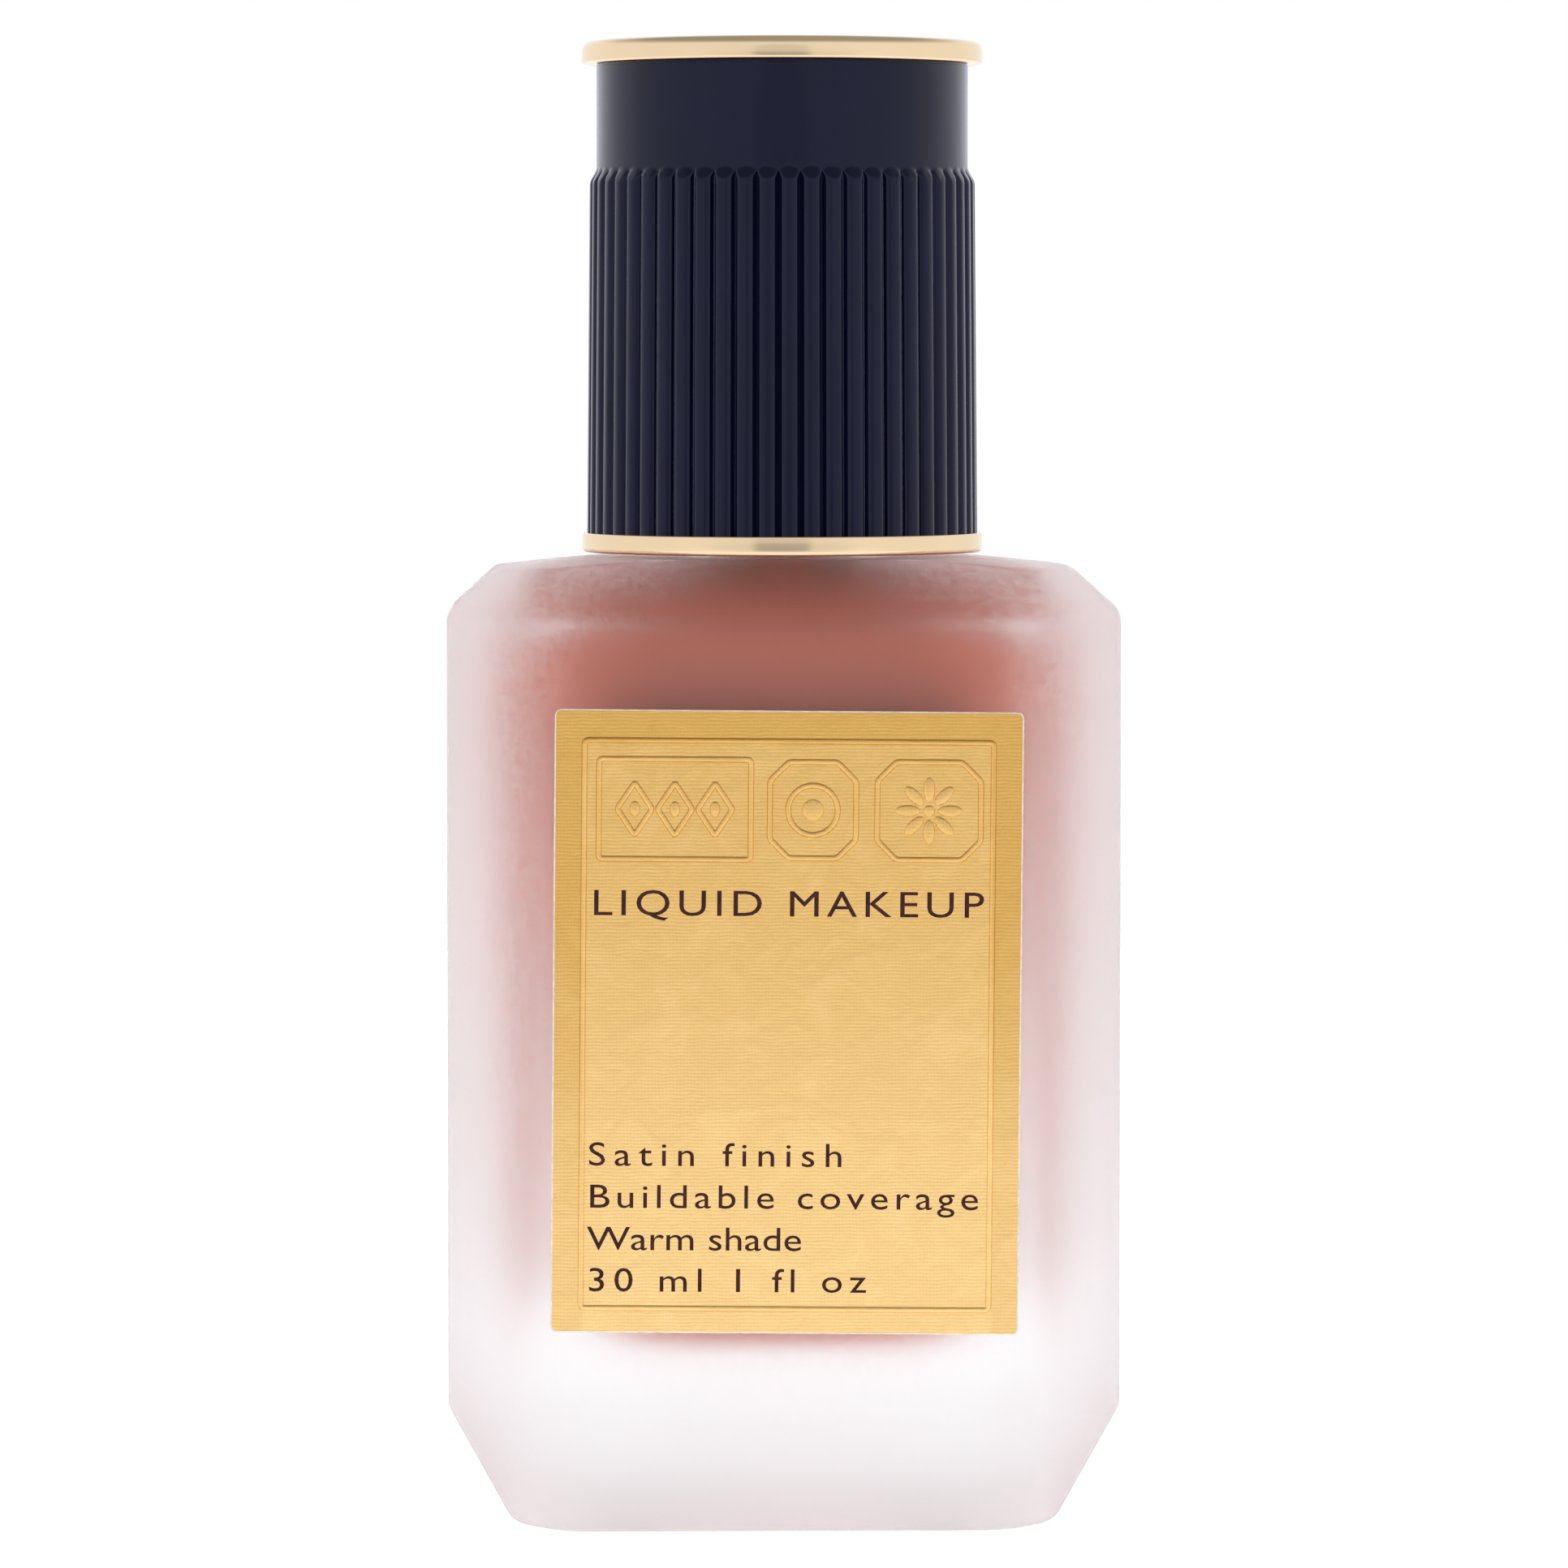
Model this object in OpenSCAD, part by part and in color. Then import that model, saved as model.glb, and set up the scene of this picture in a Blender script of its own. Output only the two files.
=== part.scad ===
// Foundation bottle: thick faceted glass, a snap-on treatment pump and a ribbed pull-off overcap.
// The origin is the centre of the base. +Z is up, +X is to the right and the label faces -Y.

/* [Glass body] */
// Width of the body, left to right
body_w = 46.8; // [46:0.2:50]
// Depth of the body, front to back
body_d = 30.2; // [30:0.2:34]
// Height of the flat land round the neck
land_z = 67.4; // [66:0.2:72]
// Width that each upright corner cut takes off the front face
corner_x = 5.8; // [4:0.1:7]
// Depth that each upright corner cut takes off the side face
corner_y = 7; // [5:0.1:8]
// How far the bevel round the base leans in
base_bevel_in = 4.5; // [3:0.1:5]
// Height of the bevel round the base
base_bevel_h = 8.4; // [6:0.1:10]
// How far the bevel round the top leans in, up to the dome
top_bevel_in = 3.4; // [3:0.1:3.6]
// Height of the bevel round the top, up to the dome
top_bevel_h = 3.1; // [3:0.05:3.4]
// Radius of the shallow dome on top of the body
dome_r = 165; // [120:5:260]
// Depth of the hollow under the base
base_hollow = 0.8; // [0.4:0.1:1.5]

/* [Cavity] */
// Half width of the cavity near its top
cavity_top_w = 17.6; // [17:0.1:18.4]
// Half width of the cavity near its floor
cavity_low_w = 15; // [14:0.1:16]
// Half depth of the cavity near its top
cavity_top_d = 11.4; // [10.8:0.1:11.8]
// Half depth of the cavity near its floor
cavity_low_d = 10.4; // [9.8:0.1:10.8]
// Thickness of the glass under the cavity
floor_t = 12.8; // [11:0.2:15]

/* [Label] */
// Width of the label
label_w = 32.1; // [28:0.1:33]
// Height of the label
label_h = 42.8; // [36:0.1:44]
// Height of the label's middle above the base
label_z = 35.8; // [34:0.1:38]
// Thickness of the label
label_t = 0.15; // [0.1:0.05:0.3]
// How far the label was stuck on out of true, clockwise, in degrees
label_tilt = 0.5; // [0:0.1:1]

/* [Overcap] */
// Diameter of the metal disc on top and the metal ring below
trim_d = 28; // [27.6:0.1:29]
// Diameter of the smooth band
band_d = 25.96; // [25.8:0.02:26.2]
// Diameter over the ribs
rib_d = 27.12; // [26.8:0.04:27.4]
// Number of ribs
rib_count = 54; // [48:1:60]
// Height of the overcap, ring and disc included
cap_h = 35.8; // [35:0.1:38]

/* [Pump] */
// How far the actuator is pressed for one dose
press_travel = 3.6; // [3:0.1:3.8]
// Diameter of the stem
stem_d = 3.8; // [3.4:0.1:4]
// Inside diameter of the pump barrel
barrel_d = 8.4; // [8:0.1:8.6]
// Diameter of the dip tube
dip_d = 3; // [2.6:0.1:3.2]
// Number of turns of the return spring
spring_turns = 6; // [4:1:7]

/* [Hidden] */
$fn = 96;

// A slip fit between parts that slide or turn on each other, on the radius
slip = 0.05;
// How far cutting tools run past a face
over = 1;

// Glass body
shoulder_z = land_z - 3.7;
dome_top = land_z + 0.6;
corner_len = norm([corner_x, corner_y]);
corner_n = [corner_y, corner_x] / corner_len;
corner_s = corner_n * [body_w / 2, body_d / 2 - corner_y];
cavity_top = land_z - 5;
cavity_foot_r = 6.5;
cavity_shoulder_r = 3;
cavity_plan_r = 9;
roof_h = 3;
fill_top = cavity_top + roof_h + 1;
neck_top = land_z + 10.2;
neck_r = 8;
bead_r = 8.9;
bore_r = 5.6;

// Pump stack on top of the neck, from the glass up
gasket_t = 0.7;
flange_t = 1;
gland_t = 0.8;
ring_t = 1;
sleeve_t = 0.6;
gasket_z = neck_top;
flange_z = gasket_z + gasket_t;
gland_z = flange_z + flange_t;
ring_z = gland_z + gland_t;
sleeve_z = ring_z + ring_t;
collar_top = sleeve_z + sleeve_t;
flange_r = 8.3;
ring_r = 9.7;
sleeve_r = 10.2;
turret_r = 4.6;
turret_top = collar_top + 4.3;

// Barrel, piston and stem
stem_r = stem_d / 2;
barrel_r = barrel_d / 2;
wall = 0.8;
stem_low = neck_top - 5;
tip_low = stem_low - 2;
port_z = stem_low + 0.65;
piston_top = stem_low + 3.5;
stop_z = piston_top + 0.8;
barrel_low = neck_top - 16.6;
ball_r = 1.2;
chamber_r = 1.5;
seat_z = barrel_low - 3.8;
ball_z = seat_z - 0.5 + (ball_r + slip) / sin(45);
tail_low = neck_top - 27.6;
dip_r = dip_d / 2;
dip_low = floor_t + 1.4;

// Actuator
skirt_z = collar_top + press_travel + 0.2;
core_z = turret_top + press_travel + 0.2;
core_t = 3.2;
cover_r = 7.6;
cover_t = 0.8;
cover_top = core_z + core_t + 1;
nozzle_z = core_z + core_t / 2;
nozzle_r = 1.5;
nozzle_reach = 9.2;
insert_r = 1;
insert_len = 1.7;
insert_y = 1.8 - nozzle_reach;

// Overcap
cap_z = land_z + 0.3;
cap_top = cap_z + cap_h;
trim_r = trim_d / 2;
band_r = band_d / 2;
rib_r = rib_d / 2;
rib_round = 0.86;
groove_r = band_r + 0.15;
ring_h = 1.35;
disc_h = 1.75;
crown_r = 450;
rim_r = 0.9;
rim_in = trim_r - rim_r;
rim_z = cap_top - crown_r + sqrt(crown_r * crown_r - rim_in * rim_in) - rim_r;
shell_z = cap_z + ring_h;
shell_top = cap_top - disc_h;
rib_top = shell_top - 8.25;
shell_in = 11.55;
ceiling_z = shell_top - 2.15;
liner_r = 11.5;
liner_in = 10.5;

// Round stretch of an outline: centre, radius, first and last angle
function arc(c, r, a0, a1, steps = 8) =
    [for (i = [0:steps]) let (a = a0 + (a1 - a0) * i / steps) c + r * [cos(a), sin(a)]];

function flipped(pts) = [for (i = [len(pts) - 1:-1:0]) [-pts[i].x, pts[i].y]];

// Outline of the cavity from one side, given its half widths near the top and the floor
function cavity_side(w_top, w_low) = let (w_roof = bore_r + 0.6, r = cavity_shoulder_r) concat(
    arc([w_low - cavity_foot_r, floor_t + cavity_foot_r], cavity_foot_r, -90, 0),
    arc([w_top - r, cavity_top - r], r, 0, 90 - atan2(roof_h, w_top - r - w_roof)),
    [[w_roof, cavity_top + roof_h]]);

// Half outline of the pump housing up to the given height, without its flange
function housing_side(top) = let (out = barrel_r + wall, tail_r = dip_r + wall)
    [[0, tail_low], [tail_r, tail_low], [tail_r, seat_z + 1], [out, barrel_low - 1], [out, top], [0, top]];

module ring(r_out, r_in, z0, z1) {
    translate([0, 0, z0]) difference() {
        cylinder(r = r_out, h = z1 - z0);
        translate([0, 0, -over]) cylinder(r = r_in, h = z1 - z0 + 2 * over);
    }
}

module bar(r, z0, z1) {
    translate([0, 0, z0]) cylinder(r = r, h = z1 - z0);
}

module rounded_rect(w, h, r) {
    square([w - 2 * r, h], center = true);
    square([w, h - 2 * r], center = true);
    for (x = [-1, 1], y = [-1, 1]) translate([x * (w / 2 - r), y * (h / 2 - r)]) circle(r);
}

// One level of the body: its eight corners at height z, with every face moved in by the inset
function level(z, inset) = let (
        a = body_w / 2 - inset,
        b = body_d / 2 - inset,
        s = corner_s - inset,
        side_y = (s - corner_n.x * a) / corner_n.y,
        front_x = (s - corner_n.y * b) / corner_n.x)
    [[a, side_y, z], [front_x, b, z], [-front_x, b, z], [-a, side_y, z],
        [-a, -side_y, z], [-front_x, -b, z], [front_x, -b, z], [a, -side_y, z]];

// The faceted outside of the body, up to the flat land
module faceted_body() {
    lean = top_bevel_in / top_bevel_h * (land_z - shoulder_z);
    levels = [level(0, base_bevel_in), level(base_bevel_h, 0), level(shoulder_z, 0), level(land_z, lean)];
    last = len(levels) - 1;
    sides = [for (i = [0:last - 1], k = [0:7]) let (a = 8 * i, n = (k + 1) % 8)
        [a + k, a + 8 + k, a + 8 + n, a + n]];
    polyhedron([for (l = levels, p = l) p],
        concat([[for (k = [0:7]) k]], sides, [[for (k = [7:-1:0]) 8 * last + k]]));
}

module cavity_slice(w_top, w_low, turn) {
    side = cavity_side(w_top, w_low);
    rotate([90, 0, turn]) linear_extrude(2 * body_w, center = true)
        polygon(concat(side, flipped(side)));
}

module cavity() {
    intersection() {
        linear_extrude(land_z) rounded_rect(2 * cavity_top_w + 0.6, 2 * cavity_top_d + 0.6, cavity_plan_r);
        cavity_slice(cavity_top_w, cavity_low_w, 0);
        cavity_slice(cavity_top_d, cavity_low_d, 90);
    }
    bar(bore_r, cavity_top, neck_top + over);
}

module bottle() {
    color([0.92, 0.91, 0.93, 0.55]) difference() {
        union() {
            intersection() {
                faceted_body();
                translate([0, 0, dome_top - dome_r]) sphere(dome_r, $fn = 200);
            }
            rotate_extrude() polygon([
                [0, land_z - over], [neck_r + 1.5, land_z - over], [neck_r, land_z + 0.5],
                [neck_r, neck_top - 3.1], [bead_r, neck_top - 2.5], [bead_r, neck_top - 0.5],
                [bead_r - 0.5, neck_top], [0, neck_top]]);
        }
        cavity();
        translate([0, 0, -over]) linear_extrude(base_hollow + over) rounded_rect(27, 11.6, 4);
    }
}

module foundation_fill() {
    color([0.66, 0.4, 0.32]) difference() {
        intersection() {
            cavity();
            bar(body_w, 0, fill_top);
        }
        rotate_extrude() polygon(housing_side(land_z));
        bar(dip_r, dip_low - dip_r, land_z);
    }
}

module front_label() {
    color([0.89, 0.73, 0.42]) translate([0, -body_d / 2, label_z]) rotate([90, -label_tilt, 0])
        linear_extrude(label_t) rounded_rect(label_w, label_h, 0.5);
}

module neck_gasket() {
    color("white") ring(flange_r - 0.1, bore_r + 0.1, gasket_z, flange_z);
}

// Plastic ring whose six fingers snap under the bead of the neck
module snap_ring() {
    inner = bead_r + 0.1;
    lug_r = neck_r + 0.3;
    lug_top = neck_top - 3.2;
    low = land_z + 2.2;
    color([0.93, 0.93, 0.9]) difference() {
        rotate_extrude() polygon([
            [inner, low], [ring_r, low], [ring_r, sleeve_z], [turret_r + 0.4, sleeve_z],
            [turret_r + 0.4, ring_z], [inner, ring_z], [inner, lug_top], [lug_r, lug_top],
            [lug_r, lug_top - 0.8], [inner, lug_top - 2]]);
        for (i = [0:2]) rotate(60 * i)
            translate([0, 0, low + 3]) cube([1.2, 2 * sleeve_r, 8], center = true);
    }
}

module collar_sleeve() {
    inner = ring_r + slip;
    color([0.88, 0.78, 0.6]) rotate_extrude() polygon(concat(
        [[inner, land_z + 0.4], [sleeve_r, land_z + 0.4]],
        arc([sleeve_r - 0.5, collar_top - 0.5], 0.5, 0, 90, 4),
        [[turret_r + 0.4, collar_top], [turret_r + 0.4, sleeve_z], [inner, sleeve_z]]));
}

// Barrel with a ball valve seat at its foot, three catches over the ball and a socket for the dip tube
module pump_housing() {
    catch_h = 0.6;
    color([0.95, 0.95, 0.93]) {
        difference() {
            union() {
                rotate_extrude() polygon(housing_side(gland_z));
                bar(flange_r, flange_z, gland_z);
            }
            bar(barrel_r, barrel_low, gland_z + over);
            bar(chamber_r, seat_z + 1, barrel_low + over);
            translate([0, 0, seat_z]) cylinder(r1 = 0.5, r2 = chamber_r, h = 1.001);
            bar(0.8, tail_low, seat_z + 0.5);
            bar(dip_r, tail_low - over, tail_low + 6);
        }
        for (i = [0:2]) rotate(120 * i)
            translate([0.7, -0.2, barrel_low - catch_h]) cube([1.2, 0.4, catch_h]);
    }
}

// Closes the barrel, guides the stem and carries the turret that the actuator slides over
module stem_gland() {
    color([0.95, 0.95, 0.93]) difference() {
        union() {
            bar(barrel_r, neck_top, gland_z);
            bar(flange_r, gland_z, ring_z);
            bar(turret_r, gland_z, turret_top);
        }
        bar(stem_r + slip, neck_top - over, turret_top);
        bar(3.3, ring_z - 0.2, turret_top + over);
    }
}

module dip_tube() {
    color([0.96, 0.96, 0.97, 0.6]) difference() {
        ring(dip_r, dip_r - 0.5, dip_low, tail_low + 6);
        translate([0, 0, dip_low + dip_r]) rotate([0, 40, 0]) translate([0, 0, -6]) cube(12, center = true);
    }
}

module inlet_ball() {
    color("silver") translate([0, 0, ball_z]) sphere(ball_r);
}

// Wire of the return spring: rings of points along a helix whose end turns lie closer together
module return_spring() {
    wire = 0.25;
    coil_r = 2.4;
    sides = 8;
    steps = 20 * spring_turns;
    low = barrel_low + wire;
    rise = tip_low - barrel_low - 2 * wire;
    pts = [for (i = [0:steps])
        let (s = i / steps, a = 360 * spring_turns * s, z = low + rise * (s - sin(360 * s) / 9))
        for (k = [0:sides - 1])
            let (b = 360 * k / sides, r = coil_r + wire * cos(b))
            [r * cos(a), r * sin(a), z + wire * sin(b)]];
    skin = [for (i = [0:steps - 1], k = [0:sides - 1]) let (a = i * sides, n = (k + 1) % sides)
        [a + k, a + sides + k, a + sides + n, a + n]];
    first = [for (k = [0:sides - 1]) k];
    last = [for (k = [sides - 1:-1:0]) steps * sides + k];
    color("lightgrey") polyhedron(pts, concat([first], skin, [last]));
}

// Hollow stem with a solid tip, two side ports and the shoulder that stops it under the gland
module stem() {
    color([0.95, 0.95, 0.93]) difference() {
        union() {
            bar(1.3, tip_low, stem_low);
            bar(stem_r, stem_low, core_z + 0.7);
            bar(2.7, stop_z, stop_z + 0.5);
        }
        bar(1, stem_low + 0.3, core_z + over);
        translate([0, 0, port_z]) rotate([0, 90, 0]) cylinder(r = 0.3, h = 3 * stem_r, center = true);
    }
}

module stem_plug() {
    color([0.8, 0.86, 0.9]) ring(2.9, 1.3, tip_low, stem_low);
}

// Sliding seal: a hub that closes the ports of the stem and a waisted lip that wipes the barrel
module piston() {
    lip = barrel_r - slip;
    low = stem_low - 0.8;
    color([0.97, 0.97, 0.97]) rotate_extrude() polygon([
        [stem_r + slip, stem_low], [stem_r + 0.7, stem_low], [stem_r + 0.7, stem_low + 1.2],
        [lip - 0.6, stem_low + 1.2], [lip - 0.4, low], [lip, low], [lip - 0.2, low + 1.2],
        [lip - 0.2, piston_top - 1.2], [lip, piston_top], [lip - 0.4, piston_top],
        [lip - 0.6, stem_low + 2.2], [stem_r + 0.7, stem_low + 2.2], [stem_r + 0.7, piston_top],
        [stem_r + slip, piston_top]]);
}

// Fits in the cover, takes the stem in its socket and leads the liquid out to the nozzle
module actuator_core() {
    socket_low = turret_top - 0.8;
    color([0.93, 0.93, 0.9]) difference() {
        union() {
            bar(cover_r - cover_t, core_z, core_z + core_t);
            bar(2.9, socket_low, core_z + 1);
            translate([0, 0, nozzle_z]) rotate([90, 0, 0]) cylinder(r = nozzle_r, h = nozzle_reach);
        }
        bar(stem_r + slip, socket_low - over, core_z + 0.8);
        bar(0.9, core_z, nozzle_z);
        translate([0, 0, nozzle_z]) rotate([90, 0, 0]) cylinder(r = 0.6, h = nozzle_reach + over);
        translate([0, insert_y, nozzle_z]) rotate([90, 0, 0]) cylinder(r = insert_r, h = insert_len + over);
    }
}

module actuator_cover() {
    inner = cover_r - cover_t;
    color([0.88, 0.78, 0.6]) difference() {
        rotate_extrude() polygon(concat(
            [[inner, skirt_z], [cover_r, skirt_z]],
            arc([cover_r - 0.8, cover_top - 0.8], 0.8, 0, 90, 5),
            [[0, cover_top - 0.3], [0, core_z + core_t], [inner, core_z + core_t]]));
        translate([0, 0, nozzle_z]) rotate([90, 0, 0]) cylinder(r = nozzle_r + slip, h = 2 * cover_r);
    }
}

module nozzle_insert() {
    color([0.2, 0.2, 0.25]) translate([0, insert_y, nozzle_z]) rotate([90, 0, 0]) difference() {
        cylinder(r = insert_r, h = insert_len);
        translate([0, 0, -over]) cylinder(r = 0.35, h = insert_len + 2 * over);
    }
}

// Ribbed lower part and smooth band in one moulding, with a rebate for the ring and a recess for the disc
module cap_shell() {
    color([0.13, 0.13, 0.19]) difference() {
        union() {
            bar(band_r, shell_z, shell_top);
            intersection() {
                translate([0, 0, shell_z]) linear_extrude(rib_top - shell_z + 1.3) union() {
                    circle(groove_r);
                    for (i = [0:rib_count - 1]) rotate(360 / rib_count * i)
                        translate([rib_r - rib_round, 0]) circle(rib_round, $fn = 24);
                }
                rotate_extrude() polygon([
                    [0, shell_z - over], [rib_r + 1, shell_z - over], [rib_r + 1, rib_top],
                    [rib_r + 0.02, rib_top], [band_r, rib_top + 1.2], [0, rib_top + 1.2]]);
            }
        }
        bar(shell_in, shell_z - over, ceiling_z);
        bar(12.4, shell_z - over, shell_z + 2);
        bar(10, shell_top - 0.85, shell_top + over);
    }
}

// Inner sleeve: eight low ribs grip the collar and a ledge stops the cap on the collar's rim
module cap_liner() {
    color([0.9, 0.9, 0.88]) {
        difference() {
            ring(liner_r, liner_in, shell_z + 0.1, ceiling_z - 0.1);
            ring(liner_r + over, liner_r - 0.3, shell_z, shell_z + 2.2);
        }
        ring(liner_in + 0.2, 9.75, collar_top + slip, collar_top + 0.9);
        for (i = [0:7]) rotate(45 * i) translate([0, 0, shell_z + 1]) linear_extrude(9)
            polygon([[sleeve_r + slip, -0.2], [liner_in + 0.2, -0.5],
                [liner_in + 0.2, 0.5], [sleeve_r + slip, 0.2]]);
    }
}

module cap_bottom_ring() {
    color([0.88, 0.78, 0.6]) rotate_extrude() polygon(concat(
        [[11.9, cap_z]],
        arc([trim_r - 0.4, cap_z + 0.4], 0.4, -90, 0, 4),
        [[trim_r, shell_z - 0.15], [trim_r - 0.15, shell_z], [12.35, shell_z], [12.35, shell_z + 1.9],
            [11.9, shell_z + 1.9]]));
}

module cap_top_disc() {
    color([0.88, 0.78, 0.6]) rotate_extrude() polygon(concat(
        [[0, shell_top - 0.8], [9.95, shell_top - 0.8], [9.95, shell_top], [trim_r - 0.15, shell_top],
            [trim_r, shell_top + 0.15]],
        arc([rim_in, rim_z], rim_r, 0, 80),
        arc([0, cap_top - crown_r], crown_r, acos(rim_in / crown_r), 90, 4)));
}

bottle();
foundation_fill();
front_label();
neck_gasket();
snap_ring();
collar_sleeve();
pump_housing();
stem_gland();
dip_tube();
inlet_ball();
return_spring();
stem();
stem_plug();
piston();
actuator_core();
actuator_cover();
nozzle_insert();
cap_shell();
cap_liner();
cap_bottom_ring();
cap_top_disc();
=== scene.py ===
"""Foundation bottle: the finished pieces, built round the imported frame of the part."""

import math

import bmesh
import bpy
from bpy.props import FloatProperty, FloatVectorProperty, IntProperty, PointerProperty, StringProperty
from bpy.types import Operator, Panel, PropertyGroup
from mathutils import Matrix, Vector


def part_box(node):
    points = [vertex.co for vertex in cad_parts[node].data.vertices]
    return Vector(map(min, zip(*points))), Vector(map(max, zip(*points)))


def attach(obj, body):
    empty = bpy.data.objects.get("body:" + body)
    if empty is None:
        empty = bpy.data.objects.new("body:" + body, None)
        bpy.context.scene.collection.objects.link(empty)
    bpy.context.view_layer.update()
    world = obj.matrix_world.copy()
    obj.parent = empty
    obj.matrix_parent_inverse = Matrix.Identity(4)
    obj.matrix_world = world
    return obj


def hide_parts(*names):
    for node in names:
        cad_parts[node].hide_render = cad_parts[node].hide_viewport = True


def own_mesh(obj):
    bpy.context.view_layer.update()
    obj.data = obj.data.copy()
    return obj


bl_info = {
    "name": "Foundation Bottle",
    "version": (1, 0, 0),
    "blender": (4, 5, 0),
    "location": "View3D > Sidebar > Bottle",
    "description": "Builds the glass, liquid, label, overcap and pump of a faceted foundation bottle",
    "category": "Object",
}

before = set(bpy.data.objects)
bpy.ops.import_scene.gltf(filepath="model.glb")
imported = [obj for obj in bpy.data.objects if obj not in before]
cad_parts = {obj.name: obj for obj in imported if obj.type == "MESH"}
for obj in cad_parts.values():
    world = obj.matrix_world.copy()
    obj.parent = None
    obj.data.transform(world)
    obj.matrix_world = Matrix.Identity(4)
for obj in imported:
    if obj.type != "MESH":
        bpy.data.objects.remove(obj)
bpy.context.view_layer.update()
MM = 0.001
LABEL_T = 0.15 * MM
ROUND_STEPS = 6
SAME_PLACE = 1e-7
MOST_CORNERS = 8

# Places that the frame gives
GLASS_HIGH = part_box("bottle")[1]
FILL_LOW, FILL_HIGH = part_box("foundation_fill")
LABEL_LOW, LABEL_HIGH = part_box("front_label")
SHELL_LOW, SHELL_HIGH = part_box("cap_shell")
DISC_LOW, DISC_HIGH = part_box("cap_top_disc")
RING_LOW, RING_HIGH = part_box("cap_bottom_ring")
COLLAR_LOW, COLLAR_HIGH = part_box("collar_sleeve")
COVER_LOW, COVER_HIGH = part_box("actuator_cover")
CORE_LOW, CORE_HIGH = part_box("actuator_core")
SPRING_LOW, SPRING_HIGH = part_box("return_spring")
TUBE_LOW, TUBE_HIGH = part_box("dip_tube")
HOUSING_LOW, HOUSING_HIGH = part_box("pump_housing")


# ---------------- settings

def length(name, description, millimetres):
    return FloatProperty(name=name, description=description, default=millimetres * MM, unit="LENGTH",
                         precision=5)


def colour(name, description, value):
    return FloatVectorProperty(name=name, description=description, default=value, subtype="COLOR",
                               size=3, min=0, max=1)


def share(name, description, value):
    return FloatProperty(name=name, description=description, default=value, min=0, max=1, subtype="FACTOR")


def angle(name, description, degrees):
    return FloatProperty(name=name, description=description, default=math.radians(degrees), subtype="ANGLE")


def amount(name, description, value):
    return FloatProperty(name=name, description=description, default=value, min=0)


def words(name, description, text):
    return StringProperty(name=name, description=description, default=text)


class GlassSettings(PropertyGroup):
    corner_x: length("Corner cut across", "Width that each corner cut takes off the front", 5.8)
    corner_y: length("Corner cut deep", "Depth that each corner cut takes off the side", 7)
    foot_in: length("Foot bevel in", "Lean of the bevel round the base", 4.5)
    foot_up: length("Foot bevel up", "Height of the bevel round the base", 8.4)
    top_in: length("Top bevel in", "Lean of the bevel round the top", 3.4)
    top_up: length("Top bevel up", "Height of the bevel round the top", 3.1)
    crease: length("Crease", "Rounding of each crease", 0.4)
    recess_in: length("Recess in", "Distance from the outline to the hollow underneath", 9.7)
    recess_up: length("Recess depth", "Depth of the hollow under the base", 0.8)
    dome_r: length("Dome radius", "Radius of the shallow dome on top", 165)
    cavity_low_w: length("Cavity foot across", "Half width of the cavity near its floor", 15)
    cavity_low_d: length("Cavity foot deep", "Half depth of the cavity near its floor", 10.4)
    cavity_round: length("Cavity corner", "Corner radius of the cavity seen from above", 9)
    ceiling_up: length("Ceiling rise", "Rise of the cavity's ceiling to the neck", 3)
    bore_r: length("Bore radius", "Radius of the hole through the neck", 5.6)
    neck_r: length("Neck radius", "Radius of the neck", 8)
    bead_r: length("Bead radius", "Radius of the bead that the collar snaps under", 8.9)
    tint: colour("Tint", "Colour of the etched glass", (0.955, 0.96, 0.98))
    etch: share("Etch", "Roughness of the satin front and back", 0.58)
    side_etch: share("Side etch", "Roughness of the satin sides and corner cuts", 0.78)
    edge: length("Upright edge", "Rounding of each upright edge", 1.8)


class LiquidSettings(PropertyGroup):
    tone: colour("Tone", "Colour of the foundation", (0.60, 0.125, 0.06))
    overlap: length("Overlap", "Reach of the liquid's skin into the glass", 0.03)
    gap: length("Gap", "Room that the liquid leaves round the pump", 0.05)


class LabelSettings(PropertyGroup):
    width: length("Width", "Width of the label", 32.1)
    height: length("Height", "Height of the label", 42.8)
    tilt: angle("Tilt", "How far the label is stuck on out of true", 0.5)
    emboss: length("Emboss", "Height of the embossed lines", 0.13)
    line: length("Line", "Width of an embossed line", 0.4)
    print_t: length("Print thickness", "Thickness of the printed ink", 0.012)
    # The foil's colour runs between these two tones. The painted shade outside the frame and the painted
    # floor light towards the bottom are laid along that run.
    foil_deep: colour("Deep foil", "Colour of the foil's darkest parts", (0.71, 0.425, 0.115))
    foil_pale: colour("Pale foil", "Colour of the foil's palest parts", (0.95, 0.655, 0.285))
    ink: colour("Ink", "Colour of the print", (0.055, 0.018, 0.018))
    wide: amount("Wide", "How much wider than the typeface the letters are drawn", 1.22)
    # Strength of the painted shade laid on the foil outside its frame.
    frame_shade: share("Frame shade", "How much deeper the foil looks outside its frame", 0.42)
    headline: words("Headline", "Generic words in capitals", "LIQUID MAKEUP")
    line_1: words("Line 1", "First small line", "Satin finish")
    line_2: words("Line 2", "Second small line", "Buildable coverage")
    line_3: words("Line 3", "Third small line", "Warm shade")
    line_4: words("Line 4", "Fourth small line", "30 ml 1 fl oz")


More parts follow.
